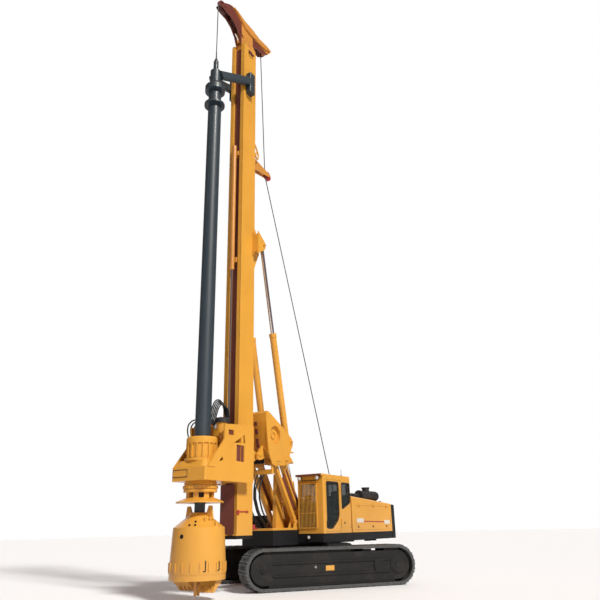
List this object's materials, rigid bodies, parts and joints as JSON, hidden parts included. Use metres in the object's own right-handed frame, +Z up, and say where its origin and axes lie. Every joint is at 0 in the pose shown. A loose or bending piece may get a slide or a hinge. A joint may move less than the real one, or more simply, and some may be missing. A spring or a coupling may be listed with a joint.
{
  "type": "rotary piling rig",
  "caption": "Tracked rotary piling rig with a tall mast, kelly bar, power head, drilling bucket and a slewing upper structure with cab.",
  "frame": {"origin": "on the slewing axis at the ground under the tracks", "axes": "+X forward along the upper structure towards the mast, +Y to the cab side, +Z up"},
  "size_m": [9.8536, 6.527, 19.35],
  "materials": {
    "yellow_paint": "gloss enamel",
    "dark_paint": "satin enamel",
    "kelly_paint": "satin blue-grey enamel",
    "track_steel": "dark oiled steel",
    "chrome_rod": "polished",
    "sheave_red": "gloss enamel",
    "cab_glass": "clear",
    "seat_fabric": "woven",
    "dark_plastic": "textured",
    "bright_steel": "machined"
  },
  "bodies": {
    "undercarriage": {"track_left": "track_steel", "track_right": "track_steel", "side_frame_left": "track_steel", "side_frame_right": "track_steel", "track_wheels": "track_steel", "track_rollers": "track_steel", "car_body": "track_steel"},
    "upper": {"deck_frame": "dark_paint", "nose_deck": "yellow_paint", "hose_post": "yellow_paint", "counterweight": "dark_paint", "hood_left": "yellow_paint", "hood_right": "yellow_paint", "engine_block": "track_steel", "air_cleaner": "dark_plastic", "cab_shell": "yellow_paint", "cab_roof": "yellow_paint", "cab_glass": "cab_glass", "cab_guard": "yellow_paint", "operator_seat": "seat_fabric", "control_console": "dark_plastic", "front_box": "dark_paint", "winch_frame": "yellow_paint"},
    "cab_door": {"cab_door": "yellow_paint", "door_glass": "cab_glass"},
    "hood_lid": {"hood_lid": "yellow_paint"},
    "winch_drum": {"winch_drum": "yellow_paint"},
    "boom_arms": {"boom_arms": "yellow_paint"},
    "boom_struts": {"boom_struts": "yellow_paint"},
    "luff_barrels": {"luff_barrels": "yellow_paint"},
    "luff_rods": {"luff_rods": "chrome_rod"},
    "carrier": {"carrier_frame": "yellow_paint"},
    "stay_barrels": {"stay_barrels": "yellow_paint"},
    "stay_rods": {"stay_rods": "chrome_rod"},
    "mast": {"mast_column": "yellow_paint", "mast_foot": "track_steel", "crown_frame": "yellow_paint", "sheave_bracket": "yellow_paint", "crowd_barrel": "yellow_paint"},
    "front_sheave": {"front_sheave": "dark_paint"},
    "rear_sheave": {"rear_sheave": "dark_paint"},
    "guide_sheave": {"guide_sheave": "sheave_red"},
    "power_head": {"head_carriage": "yellow_paint", "head_gearbox": "yellow_paint", "head_motors": "yellow_paint", "motor_caps": "dark_plastic", "crowd_rod": "chrome_rod"},
    "drive_adapter": {"drive_adapter": "yellow_paint"},
    "kelly_guide": {"kelly_guide": "kelly_paint", "swivel": "kelly_paint"},
    "kelly": {"kelly_bar": "kelly_paint", "bucket_shell": "yellow_paint"},
    "bucket_door": {"bucket_door": "yellow_paint"}
  },
  "joints": [
    {"name": "slew", "type": "hinge", "parent": "undercarriage", "child": "upper", "pos_m": [0, 0, 1.075], "axis": [0, 0, 1], "continuous": true},
    {"name": "cab_door_hinge", "type": "hinge", "parent": "upper", "child": "cab_door", "pos_m": [0.296, 1.462, 1.75], "axis": [0, 0, 1], "range_deg": [0, 95]},
    {"name": "hood_lid_hinge", "type": "hinge", "parent": "upper", "child": "hood_lid", "pos_m": [-2.06, 1.462, 2.253], "axis": [1, 0, 0], "range_deg": [0, 75]},
    {"name": "winch_spin", "type": "hinge", "parent": "upper", "child": "winch_drum", "pos_m": [-2.58, 0, 1.96], "axis": [0, 1, 0], "continuous": true},
    {"name": "boom_luff", "type": "hinge", "parent": "upper", "child": "boom_arms", "pos_m": [0.86, 0, 1.8], "axis": [0, 1, 0], "range_deg": [-12, 8]},
    {"name": "strut_swing", "type": "hinge", "parent": "upper", "child": "boom_struts", "pos_m": [1.3, 0, 1.76], "axis": [0, 1, 0], "range_deg": [-12.5, 8.5]},
    {"name": "carrier_level", "type": "hinge", "parent": "boom_arms", "child": "carrier", "pos_m": [1.99, 0, 3.48], "axis": [0, 1, 0], "range_deg": [-8.5, 12.5]},
    {"name": "luff_barrel_swing", "type": "hinge", "parent": "upper", "child": "luff_barrels", "pos_m": [0.7, 0, 1.7], "axis": [0, 1, 0], "range_deg": [-11.99, 8.06]},
    {"name": "luff_rod_slide", "type": "slide", "parent": "luff_barrels", "child": "luff_rods", "axis": [0.3344, 0, 0.9424], "range_m": [-0.0739, 0.1088]},
    {"name": "mast_tilt", "type": "hinge", "parent": "carrier", "child": "mast", "pos_m": [3.08, 0, 3.56], "axis": [0, 1, 0], "range_deg": [-8, 5]},
    {"name": "stay_barrel_swing", "type": "hinge", "parent": "carrier", "child": "stay_barrels", "pos_m": [1.7, 0, 4.06], "axis": [0, 1, 0], "range_deg": [-8.51, 5.4]},
    {"name": "stay_rod_slide", "type": "slide", "parent": "stay_barrels", "child": "stay_rods", "axis": [0.2163, 0, 0.9763], "range_m": [-0.2058, 0.1302]},
    {"name": "front_sheave_spin", "type": "hinge", "parent": "mast", "child": "front_sheave", "pos_m": [4.933, 0, 18.93], "axis": [0, 1, 0], "continuous": true},
    {"name": "rear_sheave_spin", "type": "hinge", "parent": "mast", "child": "rear_sheave", "pos_m": [2.84, 0, 18.87], "axis": [0, 1, 0], "continuous": true},
    {"name": "guide_sheave_spin", "type": "hinge", "parent": "mast", "child": "guide_sheave", "pos_m": [2.15, 0, 13.45], "axis": [0, 1, 0], "continuous": true},
    {"name": "feed", "type": "slide", "parent": "mast", "child": "power_head", "axis": [0, 0, 1], "range_m": [0, 3]},
    {"name": "adapter_spin", "type": "hinge", "parent": "power_head", "child": "drive_adapter", "pos_m": [5.173, 0, 2.5], "axis": [0, 0, 1], "continuous": true},
    {"name": "kelly_hoist", "type": "slide", "parent": "mast", "child": "kelly_guide", "axis": [0, 0, 1], "range_m": [-3, 0]},
    {"name": "kelly_spin", "type": "hinge", "parent": "kelly_guide", "child": "kelly", "pos_m": [5.173, 0, 8], "axis": [0, 0, 1], "continuous": true},
    {"name": "bucket_door_hinge", "type": "hinge", "parent": "kelly", "child": "bucket_door", "pos_m": [4.446, 0, 0.59], "axis": [0, 1, 0], "range_deg": [0, 60]}
  ],
  "couplings": [
    {"joint": "strut_swing", "follows": "boom_luff", "ratio": 1},
    {"joint": "carrier_level", "follows": "boom_luff", "ratio": -1},
    {"joint": "luff_barrel_swing", "follows": "boom_luff", "ratio": 0.9822},
    {"joint": "luff_rod_slide", "follows": "boom_luff", "m_per_rad": -0.50062},
    {"joint": "stay_barrel_swing", "follows": "mast_tilt", "ratio": 1.0392},
    {"joint": "stay_rod_slide", "follows": "mast_tilt", "m_per_rad": 1.4456},
    {"joint": "adapter_spin", "follows": "kelly_spin", "ratio": 1}
  ]
}
